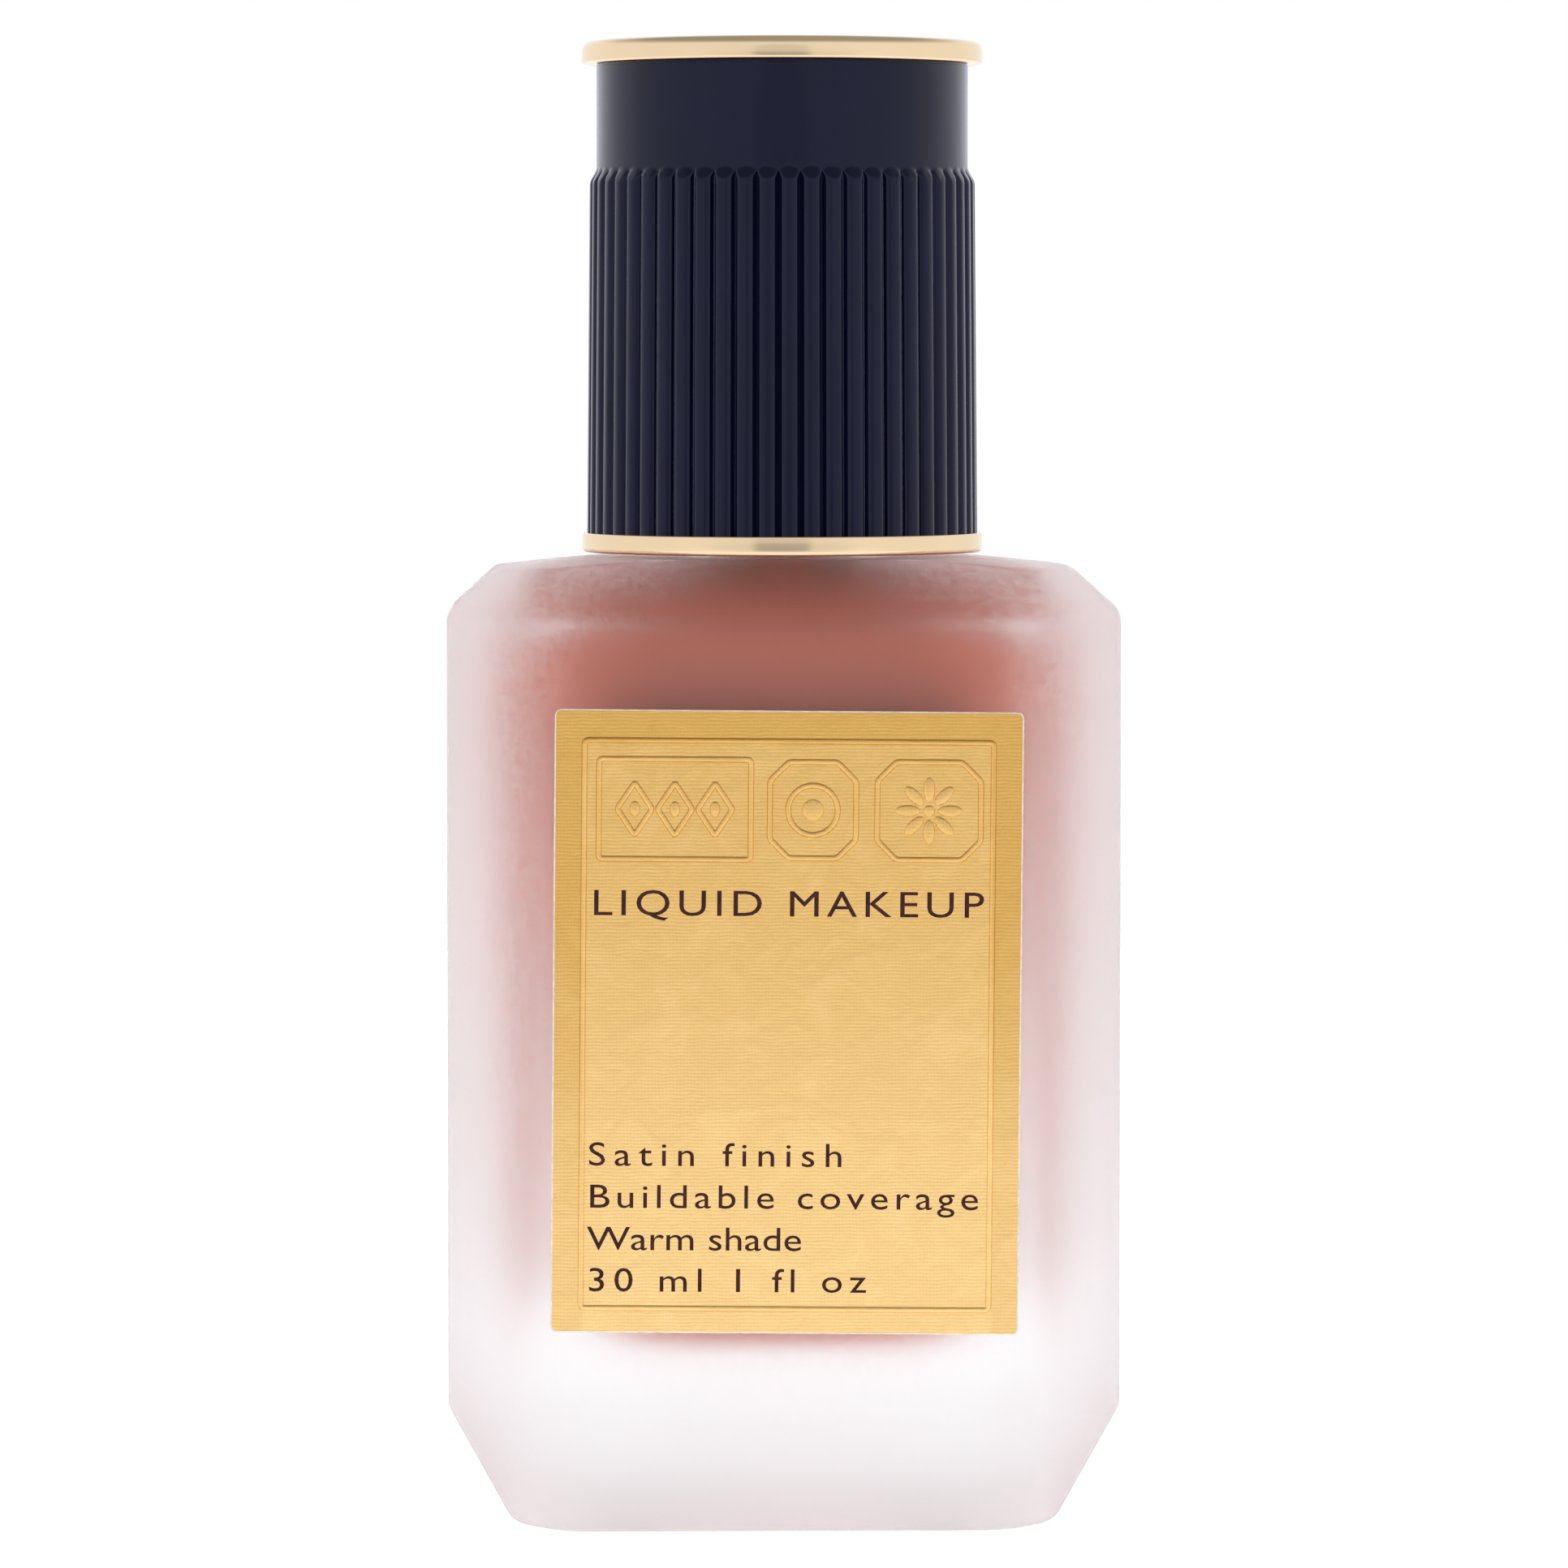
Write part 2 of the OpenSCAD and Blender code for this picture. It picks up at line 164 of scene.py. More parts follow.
class CapSettings(PropertyGroup):
    ribs: IntProperty(name="Ribs", description="Number of upright ribs", default=54, min=24, max=90)
    rib_r: length("Rib reach", "Radius of the ribs' backs at their top", 13.46)
    groove: length("Groove", "Depth of the grooves between the ribs", 0.5)
    rib_h: length("Rib height", "Height of the ribs, from the metal ring up", 25.55)
    rib_slope: length("Rib slope", "Height over which a rib runs out", 1.15)
    draft: length("Draft", "How much wider the ribs stand at the foot", 0.21)
    phase: angle("Phase", "How far the ribs are turned to the right", 0.95)
    band_r: length("Band radius", "Radius of the smooth band", 12.98)
    bore_r: length("Inside radius", "Radius of the cap's inside", 11.55)
    crown: length("Crown", "Rise of the disc to its middle", 0.2)
    rim: length("Rim", "Rounding of the disc's upper edge", 1.15)
    shell: colour("Shell", "Colour of the navy plastic", (0.0015, 0.0017, 0.015))
    gold: colour("Gold", "Colour of the pale gold metal", (0.86, 0.67, 0.44))


class PumpSettings(PropertyGroup):
    turns: IntProperty(name="Turns", description="Turns of the return spring", default=6, min=3, max=9)
    wire_r: length("Wire radius", "Radius of the spring's wire", 0.25)
    dish: length("Dish", "Depth of the finger dish on the actuator", 0.7)
    plastic: colour("Plastic", "Colour of the natural plastic", (0.80, 0.79, 0.74))


class StageSettings(PropertyGroup):
    distance: length("Distance", "Distance from the camera to the bottle", 590)
    eye: length("Eye height", "Height of the camera", 82.3)
    lens: FloatProperty(name="Lens", description="Focal length of the camera", default=193.2,
                        unit="CAMERA")
    turn: angle("Turn", "How far the camera stands to the left", 1.25)
    pitch: angle("Pitch", "How far the camera looks down", 3)
    aim: angle("Aim", "How far the camera looks past the bottle's axis", 0.0125)
    surround: amount("Surround", "Brightness all round", 1.0)
    dip: amount("Dip", "How much darker it is round the camera", 0.2)
    low_dip: amount("Low dip", "How much darker it is below the camera", 0.5)
    overhead: amount("Overhead", "Brightness overhead", 0.4)
    glow: amount("Glow", "Light that the floor gives off", 0.88)


class BottleSettings(PropertyGroup):
    glass: PointerProperty(type=GlassSettings)
    liquid: PointerProperty(type=LiquidSettings)
    label: PointerProperty(type=LabelSettings)
    cap: PointerProperty(type=CapSettings)
    pump: PointerProperty(type=PumpSettings)
    stage: PointerProperty(type=StageSettings)


# ---------------- shader nodes

def put(tree, kind, inputs=None, **settings):
    """A new node with its settings, whose inputs are given values or linked to sockets."""
    made = tree.nodes.new(kind)
    for key, value in settings.items():
        setattr(made, key, value)
    for key, value in (inputs or {}).items():
        if isinstance(value, bpy.types.NodeSocket):
            tree.links.new(value, made.inputs[key])
        else:
            made.inputs[key].default_value = value
    return made


def maths(tree, operation, *values):
    return put(tree, "ShaderNodeMath", dict(enumerate(values)), operation=operation).outputs[0]


def remap(tree, value, low, high, to_low, to_high):
    inputs = {"Value": value, "From Min": low, "From Max": high, "To Min": to_low, "To Max": to_high}
    return put(tree, "ShaderNodeMapRange", inputs, interpolation_type="SMOOTHSTEP").outputs["Result"]


def blend_colours(tree, mask, first, second):
    """Colour that runs from the first to the second as the mask goes from 0 to 1."""
    ramp = put(tree, "ShaderNodeValToRGB", {"Fac": mask})
    ramp.color_ramp.elements[0].color = (*first, 1)
    ramp.color_ramp.elements[1].color = (*second, 1)
    return ramp.outputs["Color"]


def shaded(tone, factor):
    return tuple(min(1, channel * factor) for channel in tone)


def varied(tree, mask, tone, contrast):
    """The tone, from darker to paler by that contrast as the mask goes from 0 to 1."""
    return blend_colours(tree, mask, shaded(tone, 1 - contrast), shaded(tone, 1 + contrast))


def object_place(tree):
    return put(tree, "ShaderNodeTexCoord").outputs["Object"]


def feed(tree, shader, **sockets):
    """Links each socket to the shader's input of that name."""
    for key, socket in sockets.items():
        tree.links.new(socket, shader.inputs[key.replace("_", " ")])


def node_group(name, inputs, outputs):
    """An empty node group with float inputs (name: default) and float outputs, and its two end nodes."""
    group = bpy.data.node_groups.new(name, "ShaderNodeTree")
    for key, default in inputs.items():
        socket = group.interface.new_socket(name=key, in_out="INPUT", socket_type="NodeSocketFloat")
        socket.default_value = default
    for key in outputs:
        group.interface.new_socket(name=key, in_out="OUTPUT", socket_type="NodeSocketFloat")
    return group, group.nodes.new("NodeGroupInput"), group.nodes.new("NodeGroupOutput")


def mottle_group():
    """Slow cloudy change over a surface with a fine grain on top of it."""
    name = "surface_mottle"
    if name in bpy.data.node_groups:
        return bpy.data.node_groups[name]
    group, given, result = node_group(name, {"Cloud Scale": 150, "Grain Scale": 3000},
                                      ("Cloud", "Grain"))
    place = object_place(group)
    for scale, detail, out in (("Cloud Scale", 3, "Cloud"), ("Grain Scale", 2, "Grain")):
        noise = put(group, "ShaderNodeTexNoise",
                    {"Vector": place, "Scale": given.outputs[scale], "Detail": detail})
        spread = remap(group, noise.outputs["Fac"], 0.3, 0.7, 0, 1)
        group.links.new(spread, result.inputs[out])
    return group


def turning_group():
    """Faint lines round the axis, as turning and drawing leave on metal."""
    name = "turning_lines"
    if name in bpy.data.node_groups:
        return bpy.data.node_groups[name]
    group, given, result = node_group(name, {"Scale": 4000}, ("Lines",))
    place = object_place(group)
    parts = put(group, "ShaderNodeSeparateXYZ", {"Vector": place}).outputs
    radius = maths(group, "SQRT", maths(group, "ADD", maths(group, "MULTIPLY", parts["X"], parts["X"]),
                                        maths(group, "MULTIPLY", parts["Y"], parts["Y"])))
    across = put(group, "ShaderNodeCombineXYZ", {"X": radius, "Z": parts["Z"]}).outputs["Vector"]
    noise = put(group, "ShaderNodeTexNoise", {"Vector": across, "Scale": given.outputs["Scale"], "Detail": 2})
    group.links.new(noise.outputs["Fac"], result.inputs["Lines"])
    return group


def start_material(name, **values):
    """A material with a Principled BSDF whose constant inputs are set on its own sockets."""
    made = bpy.data.materials.new(name)
    made.use_nodes = True
    shader = made.node_tree.nodes["Principled BSDF"]
    for key, value in values.items():
        shader.inputs[key.replace("_", " ")].default_value = value
    return made, made.node_tree, shader


def mottled(tree, cloud_scale, grain_scale):
    return put(tree, "ShaderNodeGroup", {"Cloud Scale": cloud_scale, "Grain Scale": grain_scale},
               node_tree=mottle_group()).outputs


def bump(tree, shader, height, distance, strength=1):
    """Relief of that height in metres, fed to the shader's normal."""
    made = put(tree, "ShaderNodeBump", {"Height": height, "Distance": distance, "Strength": strength})
    feed(tree, shader, Normal=made.outputs["Normal"])


def mottled_material(name, tone, roughness, relief=0.004 * MM, contrast=0.08, cloud_scale=150,
                     grain_scale=2500, **values):
    """Moulded or cast surface: a slightly cloudy tone, an uneven sheen and a fine relief."""
    made, tree, shader = start_material(name, **values)
    noise = mottled(tree, cloud_scale, grain_scale)
    feed(tree, shader, Base_Color=varied(tree, noise["Cloud"], tone, contrast),
         Roughness=remap(tree, noise["Grain"], 0, 1, roughness * 0.85, roughness * 1.15))
    bump(tree, shader, noise["Grain"], relief)
    return made


# ---------------- materials

def etched_glass(glass):
    """Acid-etched outside of the glass: a fine satin grain, etched deeper round the sides than in front."""
    made, tree, shader = start_material("etched_glass", Transmission_Weight=0.97, IOR=1.5, Sheen_Weight=0.4,
                                        Sheen_Roughness=0.4, Sheen_Tint=(0.93, 0.93, 1, 1))
    noise = mottled(tree, 60, 2200)
    place = put(tree, "ShaderNodeSeparateXYZ", {"Vector": object_place(tree)}).outputs
    across = maths(tree, "ABSOLUTE", place["X"])
    front_half, fade = GLASS_HIGH.x - glass.corner_x, 1.5 * MM
    etch = remap(tree, across, front_half - fade, front_half + fade, glass.etch, glass.side_etch)
    grain = remap(tree, noise["Grain"], 0, 1, -0.05, 0.05)
    feed(tree, shader, Base_Color=varied(tree, noise["Cloud"], glass.tint, 0.008),
         Roughness=maths(tree, "ADD", etch, grain))
    bump(tree, shader, noise["Grain"], 0.002 * MM)
    return made


def inner_glass(glass):
    """Smooth inside of the glass, fire-polished by the plunger."""
    return mottled_material("inner_glass", glass.tint, 0.04, relief=0.001 * MM, contrast=0.004,
                            cloud_scale=80, grain_scale=900, Transmission_Weight=1.0, IOR=1.5)


def foundation_cream(liquid):
    """Opaque cream with slow swirls of pigment."""
    made, tree, shader = start_material("foundation_cream", IOR=1.4)
    swirl = put(tree, "ShaderNodeTexNoise", {"Vector": object_place(tree), "Scale": 45, "Detail": 3,
                                             "Distortion": 1.2}).outputs["Fac"]
    mask = remap(tree, swirl, 0.35, 0.65, 0, 1)
    feed(tree, shader, Base_Color=varied(tree, mask, liquid.tone, 0.05),
         Roughness=remap(tree, mask, 0, 1, 0.45, 0.55))
    return made


def gold_foil(label):
    """Metallised paper: linen grain, fibres and soft wrinkles. Its colour is painted paler towards the bottom
    as painted light from the bright floor, and painted deeper above and beside its frame as painted shade,
    most strongly near the top.
    """
    made, tree, shader = start_material("gold_foil", Metallic=1.0, Coat_Weight=0.1, Coat_Roughness=0.3)
    place = object_place(tree)
    threads = [put(tree, "ShaderNodeTexWave", {"Vector": place, "Scale": 1300, "Distortion": 3, "Detail": 1,
                                               "Detail Scale": 0.5}, bands_direction=way).outputs["Fac"]
               for way in ("X", "Z")]
    linen = maths(tree, "ADD", *threads)
    fibres = put(tree, "ShaderNodeTexNoise", {"Vector": place, "Scale": 1400, "Detail": 4}).outputs["Fac"]
    wrinkles = put(tree, "ShaderNodeTexNoise",
                   {"Vector": place, "Scale": 330, "Detail": 4, "Distortion": 0.8}).outputs["Fac"]
    parts = put(tree, "ShaderNodeSeparateXYZ", {"Vector": place}).outputs
    # Painted light: the foil is painted paler towards the bottom, as if lit by the bright floor.
    painted_floor_light = remap(tree, parts["Z"], LABEL_HIGH.z - 6 * MM, LABEL_LOW.z + 3 * MM, 0.3, 0.9)
    patches = remap(tree, wrinkles, 0.45, 0.72, 0, 0.15)
    # Painted shade: the strips beside and above the frame are painted darker, more so higher up.
    beside = remap(tree, maths(tree, "ABSOLUTE", parts["X"]), 13.9 * MM, 14.2 * MM, 0, 1)
    above = remap(tree, parts["Z"], LABEL_HIGH.z - 2.6 * MM, LABEL_HIGH.z - 2 * MM, 0, 1)
    shade = remap(tree, parts["Z"], LABEL_LOW.z, LABEL_HIGH.z - 12 * MM, 0.4 * label.frame_shade, label.frame_shade)
    outside = maths(tree, "MULTIPLY", maths(tree, "MAXIMUM", beside, above), shade)
    # Colour mix: random wrinkle tone plus the painted floor light, less the painted shade outside the frame.
    depth = maths(tree, "SUBTRACT", maths(tree, "ADD", painted_floor_light, patches), outside)
    feed(tree, shader, Base_Color=blend_colours(tree, depth, label.foil_deep, label.foil_pale),
         Roughness=remap(tree, fibres, 0.3, 0.7, 0.3, 0.42))
    relief = 0
    for height, weight in ((linen, 0.5), (fibres, 2.2), (wrinkles, 5)):
        relief = maths(tree, "ADD", maths(tree, "MULTIPLY", height, weight), relief)
    bump(tree, shader, relief, 0.016 * MM)
    return made


def cut_paper():
    """Bare white paper that the cut edge of the label shows."""
    return mottled_material("cut_paper", (0.88, 0.82, 0.72), 0.7, contrast=0.12, cloud_scale=2000,
                            grain_scale=6000, relief=0.01 * MM)


def printed_ink(label):
    """Dark brown ink with a slightly uneven lay on the paper's grain."""
    return mottled_material("printed_ink", label.ink, 0.75, contrast=0.25, cloud_scale=1500,
                            grain_scale=5000, relief=0.006 * MM, Specular_IOR_Level=0.15)


def navy_plastic(cap):
    """Glossy navy moulding with faint flow marks and a trace of fine scuffs."""
    made, tree, shader = start_material("navy_plastic", IOR=1.38, Specular_Tint=(0.72, 0.74, 1, 1),
                                        Sheen_Weight=0.8, Sheen_Roughness=0.25, Sheen_Tint=(0.6, 0.65, 1, 1))
    noise = mottled(tree, 90, 700)
    tone = blend_colours(tree, noise["Cloud"], shaded(cap.shell, 0.8), shaded(cap.shell, 1.25))
    feed(tree, shader, Base_Color=tone, Roughness=remap(tree, noise["Grain"], 0.2, 0.9, 0.05, 0.1))
    bump(tree, shader, noise["Cloud"], 0.004 * MM)
    return made


def pale_gold(cap):
    """Polished pale gold metal with faint turning lines and a slightly uneven anodised tone."""
    if "pale_gold" in bpy.data.materials:
        return bpy.data.materials["pale_gold"]
    made, tree, shader = start_material("pale_gold", Metallic=1.0)
    lines = put(tree, "ShaderNodeGroup", {"Scale": 5200}, node_tree=turning_group()).outputs["Lines"]
    noise = mottled(tree, 120, 2600)
    feed(tree, shader, Base_Color=varied(tree, noise["Cloud"], cap.gold, 0.03),
         Roughness=remap(tree, lines, 0.3, 0.7, 0.09, 0.15))
    bump(tree, shader, lines, 0.0006 * MM)
    return made


def clear_tube():
    """Extruded translucent tube with faint draw lines."""
    made, tree, shader = start_material("clear_tube", Transmission_Weight=0.7, IOR=1.45)
    lines = put(tree, "ShaderNodeGroup", {"Scale": 1800}, node_tree=turning_group()).outputs["Lines"]
    feed(tree, shader, Base_Color=blend_colours(tree, lines, (0.84, 0.84, 0.85), (0.92, 0.92, 0.92)),
         Roughness=remap(tree, lines, 0.3, 0.7, 0.2, 0.3))
    return made


def foam():
    """Closed-cell foam: a skin of small round pores, each painted darker towards its hollow middle as painted
    shade.
    """
    made, tree, shader = start_material("foam")
    cells = put(tree, "ShaderNodeTexVoronoi",
                {"Vector": object_place(tree), "Scale": 3500}).outputs["Distance"]
    # Painted shade: the colour darkens where each pore's relief is lowest.
    feed(tree, shader, Base_Color=blend_colours(tree, cells, (0.6, 0.6, 0.57), (0.88, 0.88, 0.85)),
         Roughness=remap(tree, cells, 0, 1, 0.95, 0.8))
    bump(tree, shader, cells, 0.05 * MM)
    return made


def spring_steel():
    """Drawn stainless wire and a polished ball."""
    made, tree, shader = start_material("spring_steel", Metallic=1.0)
    noise = mottled(tree, 700, 5000)
    feed(tree, shader, Base_Color=blend_colours(tree, noise["Cloud"], (0.56, 0.56, 0.57), (0.68, 0.68, 0.68)),
         Roughness=remap(tree, noise["Grain"], 0, 1, 0.16, 0.28))
    return made


# ---------------- mesh helpers

def rounded(keys, steps=ROUND_STEPS, closed=False):
    """Points along a line of (point, cut) keys. Each corner is rounded, starting its cut away from it."""
    points = []
    for k, (corner, cut) in enumerate(keys):
        if cut <= 0 or (not closed and k in (0, len(keys) - 1)):
            points.append(corner)
            continue
        back = keys[k - 1][0] - corner
        ahead = keys[(k + 1) % len(keys)][0] - corner
        reach = min(cut, 0.48 * back.length, 0.48 * ahead.length)
        start = corner + back.normalized() * reach
        end = corner + ahead.normalized() * reach
        for s in range(steps + 1):
            t = s / steps
            points.append(start.lerp(corner, t).lerp(corner.lerp(end, t), t))
    return points


def close_up(bm):
    """Merges points that meet and turns the faces outwards."""
    bmesh.ops.remove_doubles(bm, verts=bm.verts, dist=SAME_PLACE)
    bmesh.ops.recalc_face_normals(bm, faces=bm.faces)
    return bm


def lattice(columns, rows, place, material=lambda row: 0):
    """A skin of columns by rows whose point (i, j) is place(i, j). Edges that meet are merged."""
    bm = bmesh.new()
    bmesh.ops.create_grid(bm, x_segments=columns, y_segments=rows, size=0.5)
    for face in bm.faces:
        face.material_index = material(int((face.calc_center_median().y + 0.5) * rows))
    for vert in bm.verts:
        vert.co = place(round((vert.co.x + 0.5) * columns), round((vert.co.y + 0.5) * rows))
    return close_up(bm)


def revolved(keys, closed, turns=144):
    """A solid turned about Z from (radius, height, cut) keys, closed or with both ends on Z."""
    outline = rounded([(Vector((r, 0, z)), cut) for r, z, cut in keys], closed=closed)
    bm = bmesh.new()
    verts = [bm.verts.new(point) for point in outline]
    ahead = verts[1:] + verts[:1] if closed else verts[1:]
    edges = [bm.edges.new(pair) for pair in zip(verts, ahead)]
    bmesh.ops.spin(bm, geom=verts + edges, axis=(0, 0, 1), cent=(0, 0, 0), angle=math.tau, steps=turns,
                   use_merge=True)
    return close_up(bm)


def as_object(bm, name):
    """Turns the bmesh into an object in the scene, and frees it."""
    mesh = bpy.data.meshes.new(name)
    bm.to_mesh(mesh)
    bm.free()
    item = bpy.data.objects.new(name, mesh)
    bpy.context.scene.collection.objects.link(item)
    return item


def evaluated_mesh(item):
    """A new mesh that holds the item with its modifiers or its curve worked out."""
    bpy.context.view_layer.update()
    return bpy.data.meshes.new_from_object(item.evaluated_get(bpy.context.evaluated_depsgraph_get()))


def finish_piece(bm, name, body, materials, replaces=(), sharp=32):
    """Makes the bmesh an object with smooth faces and sharp creases, ties it to its body, and hides the CAD
    parts that it replaces.
    """
    for face in bm.faces:
        face.smooth = len(face.verts) <= MOST_CORNERS
    for edge in bm.edges:
        edge.smooth = not edge.is_manifold or edge.calc_face_angle(0) < math.radians(sharp)
    piece = as_object(bm, name)
    for material in materials:
        piece.data.materials.append(material)
    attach(piece, body)
    if replaces:
        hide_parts(*replaces)
    return piece


def paint(node, material):
    """Gives a CAD node that keeps its own mesh a finished material."""
    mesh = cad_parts[node].data
    mesh.materials.clear()
    mesh.materials.append(material)


# ---------------- glass and liquid

def octagon(glass, inset):
    """Corners of the plan, anticlockwise from the right face's back end, each face moved in by inset."""
    corner = Vector((glass.corner_y, glass.corner_x)).normalized()
    reach = corner.dot(Vector((GLASS_HIGH.x, GLASS_HIGH.y - glass.corner_y))) - inset
    a, b = GLASS_HIGH.x - inset, GLASS_HIGH.y - inset
    side_y = (reach - corner.x * a) / corner.y
    front_x = (reach - corner.y * b) / corner.x
    quarter = [Vector((a, side_y)), Vector((front_x, b))]
    left = [Vector((-p.x, p.y)) for p in reversed(quarter)]
    return quarter + left + [-p for p in quarter + left]


def plan(glass, inset):
    """The plan as points all round, with its eight corners rounded and its flats divided."""
    corners = octagon(glass, inset)
    arcs = []
    for k, corner in enumerate(corners):
        keys = [(corners[k - 1], 0), (corner, glass.edge), (corners[(k + 1) % 8], 0)]
        arcs.append(rounded(keys, 4)[1:-1])
    points = []
    for k, arc in enumerate(arcs):
        after = arcs[(k + 1) % 8][0]
        parts = (4, 20, 4, 6)[k % 4]
        points += arc + [arc[-1].lerp(after, s / parts) for s in range(1, parts)]
    return points


def rect_reach(way, a, b, r):
    """Distance from the centre of a rounded rectangle of half sizes a and b to its edge, in direction way."""
    x, y = abs(way.x), abs(way.y)
    if x * (b - r) >= y * a:
        return a / x
    if y * (a - r) >= x * b:
        return b / y
    along = x * (a - r) + y * (b - r)
    return along + math.sqrt(max(0, along ** 2 - (a - r) ** 2 - (b - r) ** 2 + r ** 2))


def raised(point, z):
    return Vector((point.x, point.y, z))


def cavity_keys(glass, way, grow=0):
    """Keys of the cavity's outline in direction way, from the neck's bore down to the middle of its floor."""
    ceiling = FILL_HIGH.z - 1 * MM - glass.ceiling_up + grow
    high = rect_reach(way, FILL_HIGH.x + grow, FILL_HIGH.y + grow, glass.cavity_round + grow)
    low = rect_reach(way, glass.cavity_low_w + grow, glass.cavity_low_d + grow, glass.cavity_round + grow)
    bore = glass.bore_r + grow
    return [(raised(way * bore, ceiling + glass.ceiling_up), 1.6 * MM),
            (raised(way * high, ceiling), 3 * MM),
            (raised(way * low, FILL_LOW.z - grow), 6.5 * MM),
            (Vector((0, 0, FILL_LOW.z - grow)), 0)]


def glass_column(glass, start, rate):
    """Keys of one column of the wall: from the middle of the base, over the neck, to the cavity's floor."""
    def at(inset, z):
        return raised(start + rate * inset, z)

    neck_top = GLASS_HIGH.z
    neck_h = 10.2 * MM
    bevel_drop = 3.7 * MM
    dome_rise = 0.6 * MM
    land = neck_top - neck_h
    shoulder = land - bevel_drop
    dome_top = land + dome_rise
    way = start.normalized()

    def top_at(r):
        return min(land, dome_top - glass.dome_r + math.sqrt(glass.dome_r ** 2 - r ** 2))

    inset = glass.top_in
    for _ in range(12):
        height = top_at((start + rate * inset).length) - shoulder
        inset = height * glass.top_in / glass.top_up
    rim = start + rate * inset
    land_r = math.sqrt(glass.dome_r ** 2 - (glass.dome_r - dome_rise) ** 2)
    least = 0.5 * MM
    inner = way * (land_r if rim.length > land_r + least else rim.length - least)
    dome = [rim.lerp(inner, s / 3) for s in (1, 2, 3)]
    bead, neck, bore = glass.bead_r, glass.neck_r, glass.bore_r
    keys = [(Vector((0, 0, glass.recess_up)), 0),
            (at(glass.recess_in + 0.6 * MM, glass.recess_up), 0.5 * MM),
            (at(glass.recess_in, 0), 0.3 * MM),
            (at(glass.foot_in, 0), 2.5 * glass.crease),
            (at(0, glass.foot_up), 1.25 * glass.crease),
            (at(0, shoulder), 2 * glass.crease),
            (raised(rim, top_at(rim.length)), glass.crease)]
    keys += [(raised(p, top_at(p.length)), 0) for p in dome]
    keys += [(raised(way * r, z), cut) for r, z, cut in (
        (neck, land, 0.8 * MM), (neck, neck_top - 3.1 * MM, 0.4 * MM),
        (bead, neck_top - 2.4 * MM, 0.4 * MM), (bead, neck_top - 0.3 * MM, 0.4 * MM),
        (bead - 0.4 * MM, neck_top, 0.2 * MM), (bore, neck_top, 0.5 * MM))]
    return keys + cavity_keys(glass, way)


def skin(columns, material=lambda row: 0):
    """A closed skin from equally long columns of points, set side by side all round."""
    return lattice(len(columns), len(columns[0]) - 1, lambda i, j: columns[i % len(columns)][j], material)


class BOTTLE_OT_glass(Operator):
    """Builds the thick etched bottle with its rounded cavity"""
    bl_idname = "bottle.glass"
    bl_label = "Glass"

    def execute(self, context):
        glass = context.scene.foundation_bottle.glass
        starts = plan(glass, 0)
        rates = [(moved - start) / MM for start, moved in zip(starts, plan(glass, MM))]
        columns = [rounded(glass_column(glass, start, rate)) for start, rate in zip(starts, rates)]
        cavity_points = 3 * (ROUND_STEPS + 1) + 1
        outside_rows = len(columns[0]) - cavity_points
        bm = skin(columns, lambda row: int(row >= outside_rows))
        finish_piece(bm, "bottle_glass", "bottle_body",
                     [etched_glass(glass), inner_glass(glass)], ["bottle"], sharp=60)
        return {"FINISHED"}


class BOTTLE_OT_liquid(Operator):
    """Fills the cavity with foundation, round the pump and its tube"""
    bl_idname = "bottle.liquid"
    bl_label = "Liquid"

    def execute(self, context):
        settings = context.scene.foundation_bottle
        glass, liquid = settings.glass, settings.liquid
        level = FILL_HIGH.z
        tube_r = TUBE_HIGH.x + liquid.gap
        tail_r = tube_r + 0.8 * MM
        barrel_r = 5 * MM + liquid.gap
        taper = HOUSING_LOW.z + 8.2 * MM
        tail_z, tube_z = HOUSING_LOW.z - liquid.gap, TUBE_LOW.z - liquid.gap
        channel = [(barrel_r, level, 0.2 * MM), (barrel_r, taper + 1.8 * MM, 0), (tail_r, taper, 0),
                   (tail_r, tail_z, 0), (tube_r, tail_z, 0), (tube_r, tube_z, 0), (0, tube_z, 0)]
        columns = []
        for start in plan(glass, 0):
            way = start.normalized()
            wall = cavity_keys(glass, way, liquid.overlap)[::-1]
            bore = raised(way * (glass.bore_r + liquid.overlap), level)
            keys = wall + [(bore, 0.1 * MM)] + [(raised(way * r, z), cut) for r, z, cut in channel]
            columns.append(rounded(keys))
        finish_piece(skin(columns), "foundation", "bottle_body",
                     [foundation_cream(liquid)], ["foundation_fill"], sharp=60)
        return {"FINISHED"}


# ---------------- label

def on_label(label, x, y, out):
    """Place of a point x to the right of and y above the label's middle, out from the glass."""
    middle = Vector(((LABEL_LOW.x + LABEL_HIGH.x) / 2, LABEL_HIGH.y - out, (LABEL_LOW.z + LABEL_HIGH.z) / 2))
    turned = Matrix.Rotation(label.tilt, 3, "Y") @ Vector((x, 0, y))
    return middle + turned


def rounded_rect(w, h, cut, steps=6):
    """Outline of a rectangle with rounded corners, anticlockwise."""
    corners = [Vector((x * w / 2, y * h / 2)) for x, y in ((1, 1), (-1, 1), (-1, -1), (1, -1))]
    return rounded([(corner, cut) for corner in corners], steps, closed=True)


def cut_corner_rect(w, h, cut):
    """Outline of a rectangle with its four corners cut off at 45 degrees, anticlockwise."""
    a, b = w / 2, h / 2
    corners = [Vector(p) for p in ((a, b - cut), (a - cut, b), (cut - a, b), (-a, b - cut),
                                   (-a, cut - b), (cut - a, -b), (a - cut, -b), (a, cut - b))]
    return rounded([(corner, 0.25 * MM) for corner in corners], 3, closed=True)


